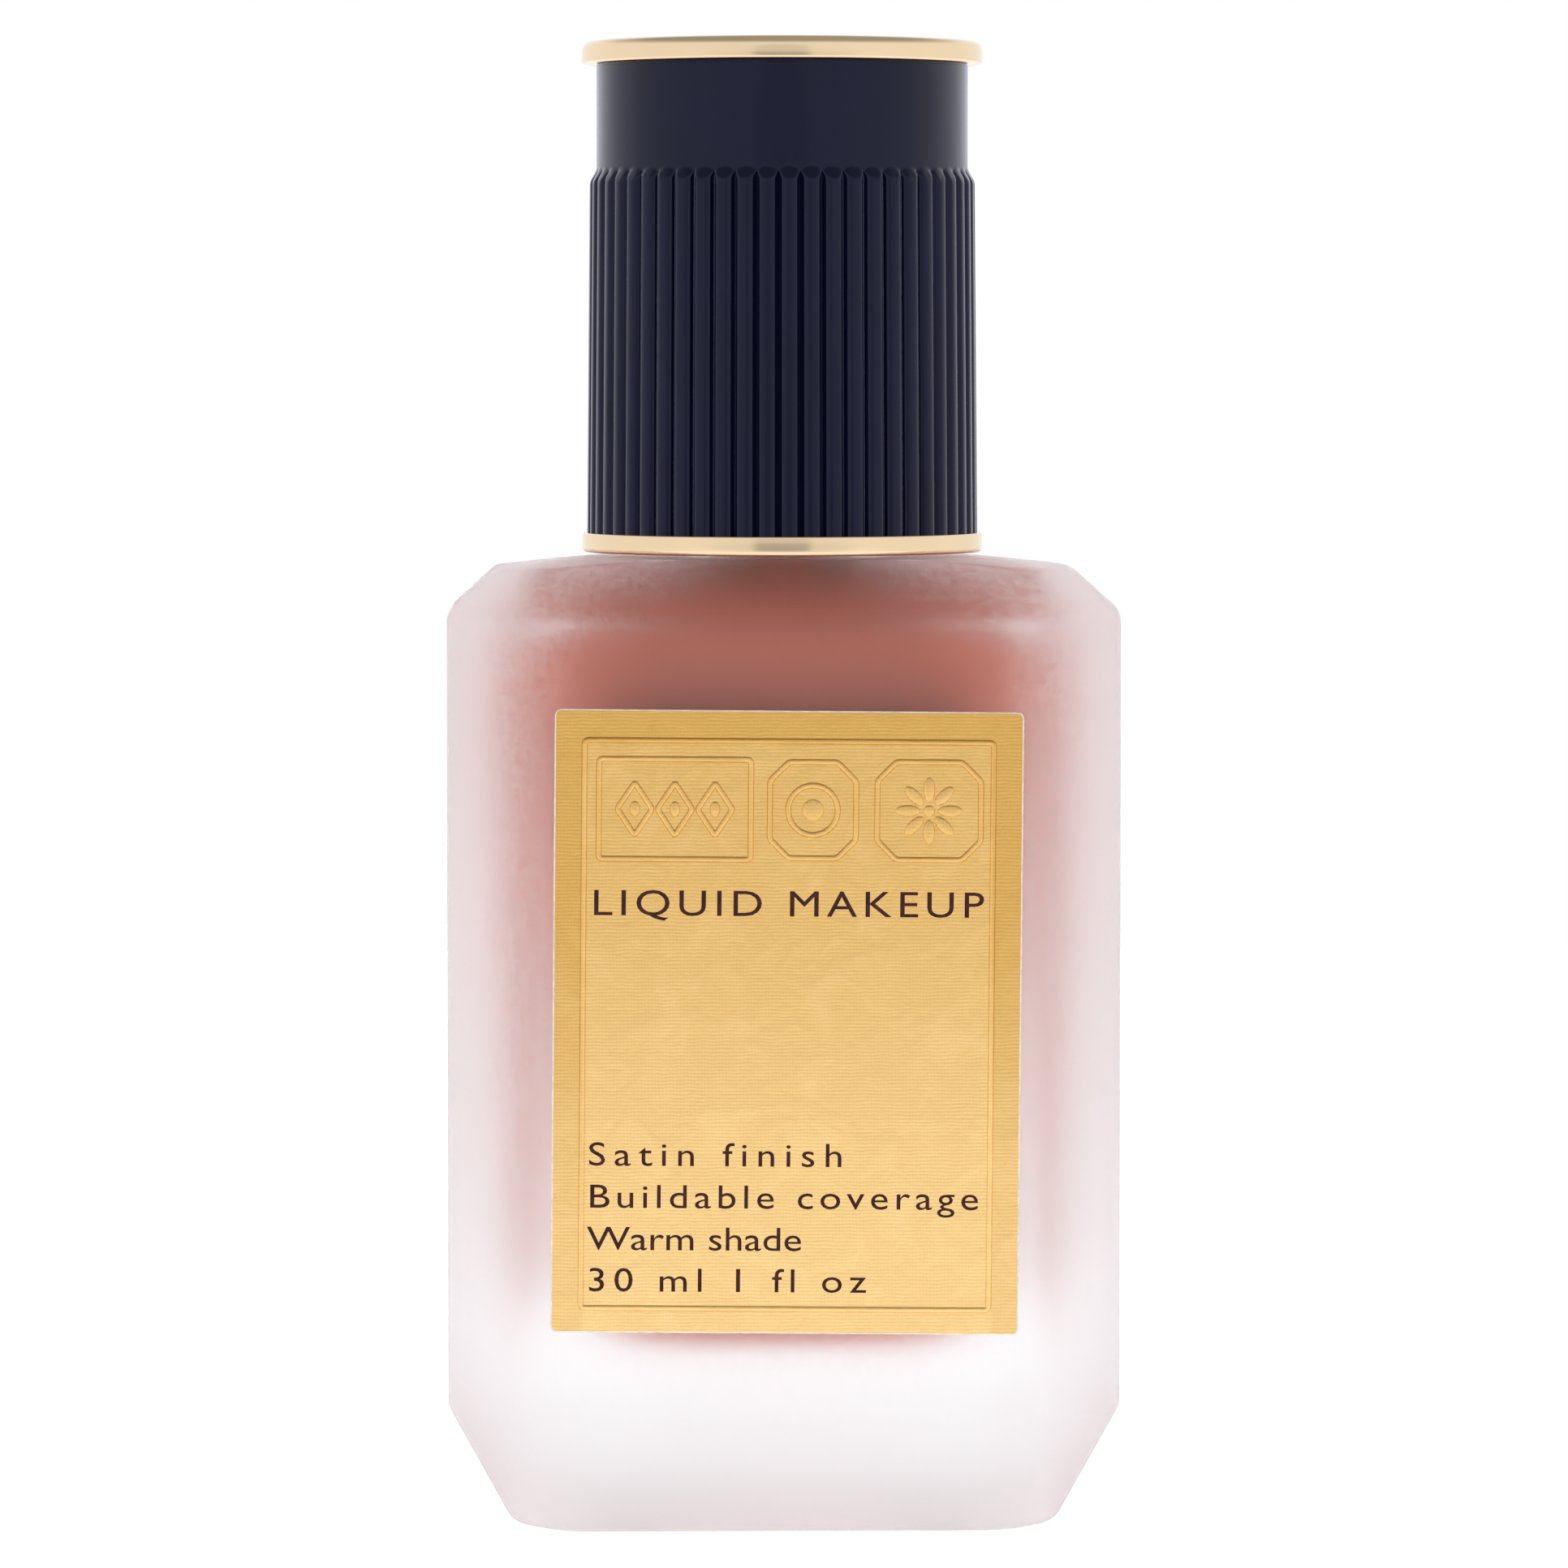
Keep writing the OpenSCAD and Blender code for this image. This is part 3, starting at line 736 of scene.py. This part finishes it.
def band(label, outline, middle):
    """A raised line with soft shoulders that follows a closed outline on the label."""
    half, rise = label.line / 2, label.emboss
    section = [(1, -0.4), (1, 0.1), (0.72, 0.62), (0.45, 0.95), (0, 1.05),
               (-0.45, 0.95), (-0.72, 0.62), (-1, 0.1), (-1, -0.4), (1, -0.4)]
    count = len(outline)
    centre = Vector(middle)

    def place(i, j):
        here = outline[i % count]
        back = (here - outline[i - 1 if i % count else count - 1]).normalized()
        ahead = (outline[(i + 1) % count] - here).normalized()
        along = (back + ahead).normalized()
        across = Vector((along.y, -along.x)) / max(0.5, along.dot(ahead))
        offset, height = section[j]
        point = centre + here + across * half * offset
        return on_label(label, point.x, point.y, LABEL_T + rise * height)

    return lattice(count, len(section) - 1, place)


def circle(r, steps=40):
    return [Vector((r * math.cos(math.tau * s / steps), r * math.sin(math.tau * s / steps)))
            for s in range(steps)]


def lozenge(w, h):
    return rounded([(Vector(p), 0.2 * MM) for p in ((w / 2, 0), (0, h / 2), (-w / 2, 0), (0, -h / 2))], 3,
                   closed=True)


def mound(label, x, y, w, h, turn=0):
    """A low raised oval on the label."""
    bm = bmesh.new()
    bmesh.ops.create_uvsphere(bm, u_segments=24, v_segments=12, radius=1)
    for vert in bm.verts:
        flat = Matrix.Rotation(turn, 2) @ Vector((vert.co.x * w / 2, vert.co.y * h / 2))
        vert.co = on_label(label, x + flat.x, y + flat.y, LABEL_T + label.emboss * vert.co.z * 1.1)
    bmesh.ops.recalc_face_normals(bm, faces=bm.faces)
    return bm


def plate(label):
    """The label's paper: a thin sheet with rounded corners and a softly bevelled front edge."""
    bm = bmesh.new()
    outline = rounded_rect(label.width, label.height, 0.5 * MM)
    verts = [bm.verts.new(on_label(label, p.x, p.y, 0)) for p in outline]
    back = bm.faces.new(verts)
    made = bmesh.ops.extrude_face_region(bm, geom=[back], use_keep_orig=True)
    front = [v for v in made["geom"] if isinstance(v, bmesh.types.BMVert)]
    bmesh.ops.translate(bm, verts=front, vec=(0, -LABEL_T, 0))
    bmesh.ops.recalc_face_normals(bm, faces=bm.faces)
    rim = [e for e in bm.edges if all(v.co.y < LABEL_HIGH.y - 0.5 * LABEL_T for v in e.verts)]
    bmesh.ops.bevel(bm, geom=rim, offset=0.09 * MM, offset_type="OFFSET", segments=2, profile=0.5,
                    affect="EDGES", material=-1)
    for face in bm.faces:
        face.material_index = int(abs(face.normal.y) < 0.95)
    return bm


def merge(target, other):
    """Adds another bmesh to the target, and frees it."""
    mesh = bpy.data.meshes.new("merge")
    other.to_mesh(mesh)
    other.free()
    target.from_mesh(mesh)
    bpy.data.meshes.remove(mesh)


def printed_line(label, text, cap_height, width, x, baseline):
    """One printed line as a thin mesh, spaced out to the width."""
    curve = bpy.data.curves.new("printed_line", "FONT")
    curve.body = text
    curve.size = cap_height / 0.73
    curve.resolution_u = 4
    curve.extrude = label.print_t
    item = bpy.data.objects.new("printed_line", curve)
    bpy.context.scene.collection.objects.link(item)
    reached = []
    for spacing in (1, 1.5):
        curve.space_character = spacing
        bpy.context.view_layer.update()
        reached.append(item.dimensions.x)
    curve.space_character = 1 + 0.5 * (width / label.wide - reached[0]) / (reached[1] - reached[0])
    mesh = evaluated_mesh(item)
    bpy.data.objects.remove(item)
    bm = bmesh.new()
    bm.from_mesh(mesh)
    bpy.data.meshes.remove(mesh)
    for vert in bm.verts:
        vert.co = on_label(label, x + vert.co.x * label.wide, baseline + vert.co.y, LABEL_T + vert.co.z)
    return close_up(bm)


class BOTTLE_OT_label(Operator):
    """Builds the foil label with its embossed frame, its plain ornaments and its generic print"""
    bl_idname = "bottle.label"
    bl_label = "Label"

    def execute(self, context):
        label = context.scene.foundation_bottle.label
        half_h = label.height / 2
        bm = plate(label)
        frame_top, frame_low = half_h - 2.1 * MM, 1.7 * MM - half_h
        row = half_h - 6.8 * MM
        lozenges_x, ring_x, rosette_x = -7.8 * MM, 1.65 * MM, 9.6 * MM
        petals, petal_r = 8, 1.45 * MM
        merge(bm, band(label, rounded_rect(28 * MM, frame_top - frame_low, 0.3 * MM, 3),
                       (0, (frame_top + frame_low) / 2)))
        merge(bm, band(label, rounded_rect(10.4 * MM, 6.85 * MM, 0.3 * MM, 3), (lozenges_x, row)))
        merge(bm, band(label, cut_corner_rect(5.9 * MM, 6.6 * MM, 1.3 * MM), (ring_x, row)))
        merge(bm, band(label, cut_corner_rect(7.1 * MM, 6.7 * MM, 1.3 * MM), (rosette_x, row)))
        for shift in (-2.75 * MM, 0, 2.75 * MM):
            merge(bm, band(label, lozenge(2.4 * MM, 3.6 * MM), (lozenges_x + shift, row)))
            merge(bm, mound(label, lozenges_x + shift, row, 0.7 * MM, 1.1 * MM))
        merge(bm, band(label, circle(1.7 * MM), (ring_x, row)))
        merge(bm, mound(label, ring_x, row, 1.5 * MM, 1.5 * MM))
        for petal in range(petals):
            turn = math.tau * petal / petals
            x, y = rosette_x + petal_r * math.cos(turn), row + petal_r * math.sin(turn)
            merge(bm, mound(label, x, y, 1.7 * MM, 0.8 * MM, turn))
        merge(bm, mound(label, rosette_x, row, 0.8 * MM, 0.8 * MM))
        finish_piece(bm, "label", "bottle_body", [gold_foil(label), cut_paper()],
                     ["front_label"], sharp=50)
        ink = printed_line(label, label.headline, 1.85 * MM, 26.7 * MM, -13.5 * MM, half_h - 14.1 * MM)
        small = ((label.line_1, 17.3, 11.5), (label.line_2, 26.6, 8.6), (label.line_3, 14.7, 5.7),
                 (label.line_4, 19, 2.85))
        for text, width, up in small:
            merge(ink, printed_line(label, text, 1.7 * MM, width * MM, -13.6 * MM, up * MM - half_h))
        finish_piece(ink, "label_print", "bottle_body", [printed_ink(label)])
        return {"FINISHED"}


# ---------------- overcap

class BOTTLE_OT_cap_shell(Operator):
    """Builds the overcap's navy moulding: a smooth band above and round-backed ribs below"""
    bl_idname = "bottle.cap_shell"
    bl_label = "Cap shell"

    def execute(self, context):
        cap = context.scene.foundation_bottle.cap
        low, high = SHELL_LOW.z, SHELL_HIGH.z
        pitch = math.tau / cap.ribs
        rib_top = low + cap.rib_h
        samples = 12

        def rib_radius(turn, z):
            """Radius of the ribbed skin at that angle, with ribs that run out in arches below the band."""
            edge = 2 * abs((turn / pitch + 0.5) % 1 - 0.5)
            plain = cap.rib_r + cap.draft * (rib_top - z) / (rib_top - low) - cap.groove * edge ** 3
            end = rib_top - 0.45 * MM * edge ** 2
            slope = cap.rib_slope * (1 - edge ** 2) + 0.12 * MM
            t = min(1, max(0, (end - z) / slope))
            return cap.band_r + (plain - cap.band_r) * t * t * (3 - 2 * t)

        slope_rows = 16
        run_out = [rib_top - (cap.rib_slope + 0.3 * MM) * (1 - s / slope_rows) for s in range(slope_rows + 1)]
        ribbed = [low + s * (run_out[0] - low) / 5 for s in range(5)] + run_out
        socket_r, socket_z = 10 * MM, high - 0.85 * MM
        step_r, step_z, ceiling = 12.4 * MM, low + 2 * MM, high - 2.15 * MM
        crown = ((cap.band_r, rib_top + MM, 0), (cap.band_r, high, 0.15), (socket_r, high, 0.05),
                 (socket_r, socket_z, 0.05), (0, socket_z, 0))
        inside = ((0, ceiling, 0), (cap.bore_r, ceiling, 0.4), (cap.bore_r, step_z, 0.1),
                  (step_r, step_z, 0.05), (step_r, low, 0))
        above, within = (rounded([(Vector((r, z)), cut * MM) for r, z, cut in keys], 3)
                         for keys in (crown, inside))
        rows = [(p.x, p.y) for p in within] + [(None, z) for z in ribbed] + [(p.x, p.y) for p in above]

        def place(i, j):
            turn = (i % (cap.ribs * samples)) * pitch / samples
            r, z = rows[j]
            if r is None:
                r = rib_radius(turn, z)
            return Vector((r * math.sin(turn + cap.phase), -r * math.cos(turn + cap.phase), z))

        bm = lattice(cap.ribs * samples, len(rows) - 1, place)
        finish_piece(bm, "cap_ribbed_shell", "overcap", [navy_plastic(cap)], ["cap_shell"],
                     sharp=40)
        return {"FINISHED"}


class BOTTLE_OT_cap_trim(Operator):
    """Turns the cap's gold disc and its gold foot ring"""
    bl_idname = "bottle.cap_trim"
    bl_label = "Cap trim"

    def execute(self, context):
        cap = context.scene.foundation_bottle.cap
        gold = pale_gold(cap)
        trim_r = DISC_HIGH.x
        shell_top, top = SHELL_HIGH.z, DISC_HIGH.z
        spigot_r = 9.95 * MM
        crown = [(trim_r * s / 10, top - cap.crown * (s / 10) ** 2, 0) for s in range(8, -1, -1)]
        disc = [(0, DISC_LOW.z, 0), (spigot_r, DISC_LOW.z, 0.1 * MM), (spigot_r, shell_top, 0),
                (trim_r, shell_top, 0.2 * MM), (trim_r, top - cap.crown, cap.rim)] + crown
        finish_piece(revolved(disc, False, 160), "cap_disc", "overcap", [gold],
                     ["cap_top_disc"], sharp=50)
        foot, seat = RING_LOW.z, SHELL_LOW.z
        inner, collar = 11.9 * MM, 12.35 * MM
        ring = [(inner, foot, 0.15 * MM), (trim_r, foot, 0.32 * MM), (trim_r, seat, 0.14 * MM),
                (collar, seat, 0), (collar, RING_HIGH.z, 0.1 * MM), (inner, RING_HIGH.z, 0.1 * MM)]
        finish_piece(revolved(ring, True, 160), "cap_foot_ring", "overcap", [gold],
                     ["cap_bottom_ring"], sharp=50)
        return {"FINISHED"}


# ---------------- pump

class BOTTLE_OT_collar(Operator):
    """Turns the gold sleeve over the snap ring"""
    bl_idname = "bottle.collar"
    bl_label = "Collar"

    def execute(self, context):
        cap = context.scene.foundation_bottle.cap
        out, low, high = COLLAR_HIGH.x, COLLAR_LOW.z, COLLAR_HIGH.z
        inner, hole, under = out - 0.45 * MM, 5 * MM, high - 0.6 * MM
        keys = [(inner, low, 0.1 * MM), (out, low, 0.18 * MM), (out, high, 0.6 * MM),
                (hole, high, 0.15 * MM), (hole, under, 0.1 * MM), (inner, under, 0.1 * MM)]
        finish_piece(revolved(keys, True), "collar_shell", "bottle_body", [pale_gold(cap)],
                     ["collar_sleeve"], sharp=50)
        return {"FINISHED"}


class BOTTLE_OT_actuator(Operator):
    """Turns the actuator's gold cover with a finger dish, and bores it for the nozzle"""
    bl_idname = "bottle.actuator"
    bl_label = "Actuator"

    def execute(self, context):
        settings = context.scene.foundation_bottle
        out, low, high = COVER_HIGH.x, COVER_LOW.z, COVER_HIGH.z
        inner, roof = out - 0.8 * MM, high - 1 * MM
        dish = settings.pump.dish
        bowl_r = out - 1.9 * MM
        bowl = [(s / 6 * bowl_r, high - dish * (1 - (s / 6) ** 2), 0) for s in range(6, -1, -1)]
        keys = ([(0, roof, 0), (inner, roof, 0.2 * MM), (inner, low, 0.1 * MM), (out, low, 0.2 * MM),
                 (out, high, 0.8 * MM)] + bowl)
        cover = finish_piece(revolved(keys, False), "actuator_shell", "actuator",
                             [pale_gold(settings.cap)], ["actuator_cover"], sharp=40)
        bm = bmesh.new()
        nozzle_z, nozzle_r = (CORE_LOW.z + CORE_HIGH.z) / 2, 1.55 * MM
        bmesh.ops.create_cone(bm, cap_ends=True, segments=64, radius1=nozzle_r, radius2=nozzle_r, depth=out)
        bmesh.ops.rotate(bm, verts=bm.verts, matrix=Matrix.Rotation(math.pi / 2, 3, "X"))
        bmesh.ops.translate(bm, verts=bm.verts, vec=(0, -out, nozzle_z))
        cutter = as_object(bm, "nozzle_bore")
        bore = cover.modifiers.new("nozzle_bore", "BOOLEAN")
        bore.operation, bore.object, bore.solver = "DIFFERENCE", cutter, "EXACT"
        cut = evaluated_mesh(cover)
        cover.modifiers.clear()
        cover.data = cut
        bpy.data.objects.remove(cutter)
        return {"FINISHED"}


class BOTTLE_OT_pump(Operator):
    """Winds the return spring and finishes the pump's plastic pieces"""
    bl_idname = "bottle.pump"
    bl_label = "Pump"

    def execute(self, context):
        pump = context.scene.foundation_bottle.pump
        low, high = SPRING_LOW.z + pump.wire_r, SPRING_HIGH.z - pump.wire_r
        coil_r = SPRING_HIGH.x - pump.wire_r
        steps, sides = 48 * pump.turns, 12

        def place(i, j):
            """Point on the wire: its end turns lie closer together than the middle ones."""
            s = i / steps
            turn = math.tau * pump.turns * s
            side = math.tau * (j % sides) / sides
            z = low + (high - low) * (s - math.sin(math.tau * s) / 9)
            r = coil_r + pump.wire_r * math.cos(side)
            return Vector((r * math.cos(turn), r * math.sin(turn), z + pump.wire_r * math.sin(side)))

        bm = lattice(steps, sides, place)
        bmesh.ops.holes_fill(bm, edges=[e for e in bm.edges if e.is_boundary], sides=0)
        bmesh.ops.recalc_face_normals(bm, faces=bm.faces)
        steel = spring_steel()
        spring = finish_piece(bm, "coil_spring", "bottle_body", [steel], ["return_spring"])
        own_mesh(spring)
        natural = mottled_material("natural_plastic", tuple(pump.plastic), 0.38, contrast=0.03,
                                   Subsurface_Weight=0.12, Subsurface_Scale=0.6 * MM)
        for node in ("snap_ring", "pump_housing", "stem_gland", "stem", "actuator_core", "cap_liner"):
            paint(node, natural)
        paint("piston", mottled_material("seal_plastic", (0.86, 0.86, 0.84), 0.5, contrast=0.02,
                                         Subsurface_Weight=0.2, Subsurface_Scale=0.5 * MM))
        paint("stem_plug", mottled_material("blue_plastic", (0.55, 0.66, 0.74), 0.4, contrast=0.04))
        paint("nozzle_insert", mottled_material("dark_plastic", (0.05, 0.05, 0.07), 0.35, contrast=0.15))
        paint("neck_gasket", foam())
        paint("dip_tube", clear_tube())
        paint("inlet_ball", steel)
        return {"FINISHED"}


# ---------------- stage

def soft_surround(stage):
    """White studio: even all round, dimmer overhead, with a darker patch round and below the camera."""
    world = bpy.data.worlds.new("soft_surround")
    world.use_nodes = True
    tree = world.node_tree
    tree.nodes.clear()
    way = put(tree, "ShaderNodeTexCoord").outputs["Generated"]
    height = put(tree, "ShaderNodeSeparateXYZ", {"Vector": way}).outputs["Z"]
    towards = (-math.sin(stage.turn), -math.cos(stage.turn), 0)
    facing = put(tree, "ShaderNodeVectorMath", {0: way, 1: towards}, operation="DOT_PRODUCT").outputs["Value"]
    wide = remap(tree, facing, 0.6, 0.92, 0, 0.25)
    narrow = remap(tree, facing, math.cos(math.radians(19)), math.cos(math.radians(13)), 0, 0.75)
    patch = maths(tree, "ADD", wide, narrow)
    depth = remap(tree, height, -0.02, 0.02, stage.low_dip, stage.dip)
    level = maths(tree, "SUBTRACT", stage.surround, maths(tree, "MULTIPLY", patch, depth))
    up = remap(tree, height, 0.35, 0.8, 0, 1)
    drop = maths(tree, "MULTIPLY", up, stage.surround - stage.overhead)
    strength = maths(tree, "MAXIMUM", maths(tree, "SUBTRACT", level, drop), 0)
    seen = put(tree, "ShaderNodeLightPath").outputs["Is Camera Ray"]
    lit = put(tree, "ShaderNodeBackground", {"Color": (1, 1, 1, 1), "Strength": strength})
    white = put(tree, "ShaderNodeBackground", {"Color": (1, 1, 1, 1), "Strength": 1.0})
    mix = put(tree, "ShaderNodeMixShader", {0: seen, 1: lit.outputs[0], 2: white.outputs[0]})
    put(tree, "ShaderNodeOutputWorld", {"Surface": mix.outputs[0]})
    return world


class BOTTLE_OT_stage(Operator):
    """Sets the pale floor, the soft surround and the camera"""
    bl_idname = "bottle.stage"
    bl_label = "Stage"

    def execute(self, context):
        stage = context.scene.foundation_bottle.stage
        bm = bmesh.new()
        bmesh.ops.create_grid(bm, x_segments=8, y_segments=8, size=0.55)
        floor = as_object(bm, "floor")
        floor.data.materials.append(mottled_material(
            "pale_floor", (0.5, 0.5, 0.5), 0.9, contrast=0.003, cloud_scale=4, grain_scale=60,
            Specular_IOR_Level=0.1, Emission_Color=(1, 1, 1, 1), Emission_Strength=stage.glow))
        context.scene.world = soft_surround(stage)
        lens = bpy.data.cameras.new("camera")
        lens.lens, lens.sensor_width, lens.clip_start = stage.lens, 36, 0.05
        camera = bpy.data.objects.new("camera", lens)
        camera.location = (-stage.distance * math.sin(stage.turn), -stage.distance * math.cos(stage.turn),
                           stage.eye)
        camera.rotation_euler = (math.pi / 2 - stage.pitch, 0, -stage.turn - stage.aim)
        context.scene.collection.objects.link(camera)
        context.scene.camera = camera
        context.scene.view_settings.view_transform = "Standard"
        return {"FINISHED"}


STEPS = (BOTTLE_OT_glass, BOTTLE_OT_liquid, BOTTLE_OT_label, BOTTLE_OT_cap_shell, BOTTLE_OT_cap_trim,
         BOTTLE_OT_collar, BOTTLE_OT_actuator, BOTTLE_OT_pump, BOTTLE_OT_stage)


class BOTTLE_PT_pieces(Panel):
    """Lists the steps that build the bottle, and their settings"""
    bl_idname = "BOTTLE_PT_pieces"
    bl_label = "Foundation Bottle"
    bl_space_type = "VIEW_3D"
    bl_region_type = "UI"
    bl_category = "Bottle"

    def draw(self, context):
        settings = context.scene.foundation_bottle
        for step in STEPS:
            self.layout.operator(step.bl_idname)
        for part in ("glass", "liquid", "label", "cap", "pump", "stage"):
            group = getattr(settings, part)
            box = self.layout.box()
            box.label(text=part.capitalize())
            for key in group.bl_rna.properties.keys():
                if key not in ("rna_type", "name"):
                    box.prop(group, key)


CLASSES = (GlassSettings, LiquidSettings, LabelSettings, CapSettings, PumpSettings, StageSettings,
           BottleSettings, *STEPS, BOTTLE_PT_pieces)


def register():
    for item in CLASSES:
        bpy.utils.register_class(item)
    bpy.types.Scene.foundation_bottle = PointerProperty(type=BottleSettings)


def unregister():
    del bpy.types.Scene.foundation_bottle
    for item in reversed(CLASSES):
        bpy.utils.unregister_class(item)


def main():
    register()
    for step in STEPS:
        family, name = step.bl_idname.split(".")
        getattr(getattr(bpy.ops, family), name)()


if __name__ == "__main__":
    main()
